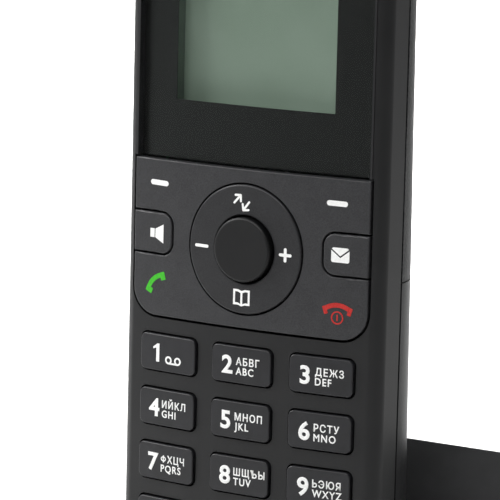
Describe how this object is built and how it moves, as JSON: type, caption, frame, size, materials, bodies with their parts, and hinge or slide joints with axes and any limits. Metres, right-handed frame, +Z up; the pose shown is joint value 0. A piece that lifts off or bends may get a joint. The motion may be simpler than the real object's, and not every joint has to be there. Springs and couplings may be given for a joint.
{
  "type": "cordless phone with base",
  "caption": "Slim cordless telephone handset with display, navigation ring and number keys, standing in a wedge-shaped charging base.",
  "frame": {"origin": "on the table, under the middle of the base", "axes": "+Z up, -Y towards the user (the side the display faces), +X to the user's right"},
  "size_m": [0.088, 0.092, 0.1577],
  "materials": {
    "base_shell": "glossy black moulded ABS",
    "base_cover": "matt black moulded plastic",
    "circuit_board": "green solder mask",
    "handset_shell": "fine satin black moulded ABS",
    "handset_back": "fine spark-textured black ABS",
    "door": "satin black moulded ABS",
    "trim": "bright painted trim",
    "lens": "clear acrylic",
    "mask": "black printed film",
    "lcd_frame": "grey moulded plastic",
    "lcd": "green-grey liquid crystal glass",
    "light_guide": "clear moulded acrylic",
    "key_mat": "translucent grey silicone",
    "function_plate": "dark grey metallic paint",
    "ring": "dark grey metallic paint",
    "ok_button": "black moulded plastic",
    "inner_frame": "white acetal",
    "mesh": "black acoustic cloth",
    "capsule": "pressed aluminium",
    "speaker": "black frame and cone",
    "cell": "shrink sleeve",
    "contact": "nickel plate",
    "screw": "zinc plate",
    "shield": "tinned steel",
    "brass": "stamped brass",
    "gold": "gold flash",
    "socket": "black nylon",
    "page_button": "black moulded plastic",
    "switch": "black switch body",
    "foot": "black rubber",
    "key": "satin dark grey moulded plastic"
  },
  "bodies": {
    "base": {"base_housing": "base_shell", "base_cover": "base_cover", "base_board": "circuit_board", "base_shield": "shield", "base_antenna": "brass", "line_socket": "socket", "line_contacts": "gold", "power_socket": "socket", "power_pin": "contact", "page_switch": "switch", "rubber_feet": "foot", "base_screws": "screw"},
    "handset": {"front_shell": "handset_shell", "back_shell": "handset_back", "panel_trim": "trim", "display_lens": "lens", "display_mask": "mask", "lcd_frame": "lcd_frame", "lcd_glass": "lcd", "light_guide": "light_guide", "handset_board": "circuit_board", "handset_shield": "shield", "handset_antenna": "brass", "key_mat": "key_mat", "receiver_mesh": "mesh", "receiver": "capsule", "ringer_speaker": "speaker", "microphone": "capsule", "cell_left": "cell", "cell_right": "cell", "cell_contacts": "contact", "charge_plates": "contact", "handset_screws": "screw"},
    "battery_door": {"battery_door": "door"},
    "plate_rocker": {"plate_rocker": "inner_frame"},
    "function_plate": {"function_plate": "function_plate"},
    "ring_rocker": {"ring_rocker": "inner_frame"},
    "nav_ring": {"nav_ring": "ring"},
    "ok_button": {"ok_button": "ok_button"},
    "speaker_key": {"speaker_key": "function_plate"},
    "message_key": {"message_key": "function_plate"},
    "page_button": {"page_button": "page_button"},
    "charge_contact_left": {"charge_contact_left": "contact"},
    "charge_contact_right": {"charge_contact_right": "contact"},
    "key_1": {"key_1": "key"},
    "key_2": {"key_2": "key"},
    "key_3": {"key_3": "key"},
    "key_4": {"key_4": "key"},
    "key_5": {"key_5": "key"},
    "key_6": {"key_6": "key"},
    "key_7": {"key_7": "key"},
    "key_8": {"key_8": "key"},
    "key_9": {"key_9": "key"},
    "key_star": {"key_star": "key"},
    "key_0": {"key_0": "key"},
    "key_hash": {"key_hash": "key"}
  },
  "joints": [
    {"name": "handset_lift", "type": "slide", "parent": "base", "child": "handset", "axis": [0, 0.0523, 0.9986], "range_m": [0, 0.09]},
    {"name": "battery_door_open", "type": "slide", "parent": "handset", "child": "battery_door", "axis": [0, 0.9986, -0.0523], "range_m": [0, 0.004]},
    {"name": "key_1_press", "type": "slide", "parent": "handset", "child": "key_1", "axis": [0, 0.9986, -0.0523], "range_m": [0, 0.0005], "stiffness_N_per_m": 400},
    {"name": "key_2_press", "type": "slide", "parent": "handset", "child": "key_2", "axis": [0, 0.9986, -0.0523], "range_m": [0, 0.0005], "stiffness_N_per_m": 400},
    {"name": "key_3_press", "type": "slide", "parent": "handset", "child": "key_3", "axis": [0, 0.9986, -0.0523], "range_m": [0, 0.0005], "stiffness_N_per_m": 400},
    {"name": "key_4_press", "type": "slide", "parent": "handset", "child": "key_4", "axis": [0, 0.9986, -0.0523], "range_m": [0, 0.0005], "stiffness_N_per_m": 400},
    {"name": "key_5_press", "type": "slide", "parent": "handset", "child": "key_5", "axis": [0, 0.9986, -0.0523], "range_m": [0, 0.0005], "stiffness_N_per_m": 400},
    {"name": "key_6_press", "type": "slide", "parent": "handset", "child": "key_6", "axis": [0, 0.9986, -0.0523], "range_m": [0, 0.0005], "stiffness_N_per_m": 400},
    {"name": "key_7_press", "type": "slide", "parent": "handset", "child": "key_7", "axis": [0, 0.9986, -0.0523], "range_m": [0, 0.0005], "stiffness_N_per_m": 400},
    {"name": "key_8_press", "type": "slide", "parent": "handset", "child": "key_8", "axis": [0, 0.9986, -0.0523], "range_m": [0, 0.0005], "stiffness_N_per_m": 400},
    {"name": "key_9_press", "type": "slide", "parent": "handset", "child": "key_9", "axis": [0, 0.9986, -0.0523], "range_m": [0, 0.0005], "stiffness_N_per_m": 400},
    {"name": "key_star_press", "type": "slide", "parent": "handset", "child": "key_star", "axis": [0, 0.9986, -0.0523], "range_m": [0, 0.0005], "stiffness_N_per_m": 400},
    {"name": "key_0_press", "type": "slide", "parent": "handset", "child": "key_0", "axis": [0, 0.9986, -0.0523], "range_m": [0, 0.0005], "stiffness_N_per_m": 400},
    {"name": "key_hash_press", "type": "slide", "parent": "handset", "child": "key_hash", "axis": [0, 0.9986, -0.0523], "range_m": [0, 0.0005], "stiffness_N_per_m": 400},
    {"name": "speaker_key_press", "type": "slide", "parent": "handset", "child": "speaker_key", "axis": [0, 0.9986, -0.0523], "range_m": [0, 0.0005], "stiffness_N_per_m": 400},
    {"name": "message_key_press", "type": "slide", "parent": "handset", "child": "message_key", "axis": [0, 0.9986, -0.0523], "range_m": [0, 0.0005], "stiffness_N_per_m": 400},
    {"name": "ok_button_press", "type": "slide", "parent": "handset", "child": "ok_button", "axis": [0, 0.9986, -0.0523], "range_m": [0, 0.0005], "stiffness_N_per_m": 400},
    {"name": "page_press", "type": "slide", "parent": "base", "child": "page_button", "axis": [0, 0, -1], "range_m": [0, 0.0008], "stiffness_N_per_m": 400},
    {"name": "charge_contact_left_press", "type": "slide", "parent": "base", "child": "charge_contact_left", "axis": [0, -0.0523, -0.9986], "range_m": [0, 0.001], "stiffness_N_per_m": 400},
    {"name": "charge_contact_right_press", "type": "slide", "parent": "base", "child": "charge_contact_right", "axis": [0, -0.0523, -0.9986], "range_m": [0, 0.001], "stiffness_N_per_m": 400},
    {"name": "plate_tilt", "type": "hinge", "parent": "handset", "child": "plate_rocker", "pos_m": [0, -0.01405, 0.08068], "axis": [1, 0, 0], "range_deg": [-1, 1], "stiffness_Nm_per_rad": 0.2},
    {"name": "plate_roll", "type": "hinge", "parent": "plate_rocker", "child": "function_plate", "pos_m": [0, -0.01405, 0.08068], "axis": [0, 0.0523, 0.9986], "range_deg": [-1, 1], "stiffness_Nm_per_rad": 0.2},
    {"name": "ring_tilt", "type": "hinge", "parent": "handset", "child": "ring_rocker", "pos_m": [0, -0.01405, 0.08068], "axis": [1, 0, 0], "range_deg": [-2.5, 2.5], "stiffness_Nm_per_rad": 0.2},
    {"name": "ring_roll", "type": "hinge", "parent": "ring_rocker", "child": "nav_ring", "pos_m": [0, -0.01405, 0.08068], "axis": [0, 0.0523, 0.9986], "range_deg": [-2.5, 2.5], "stiffness_Nm_per_rad": 0.2}
  ]
}
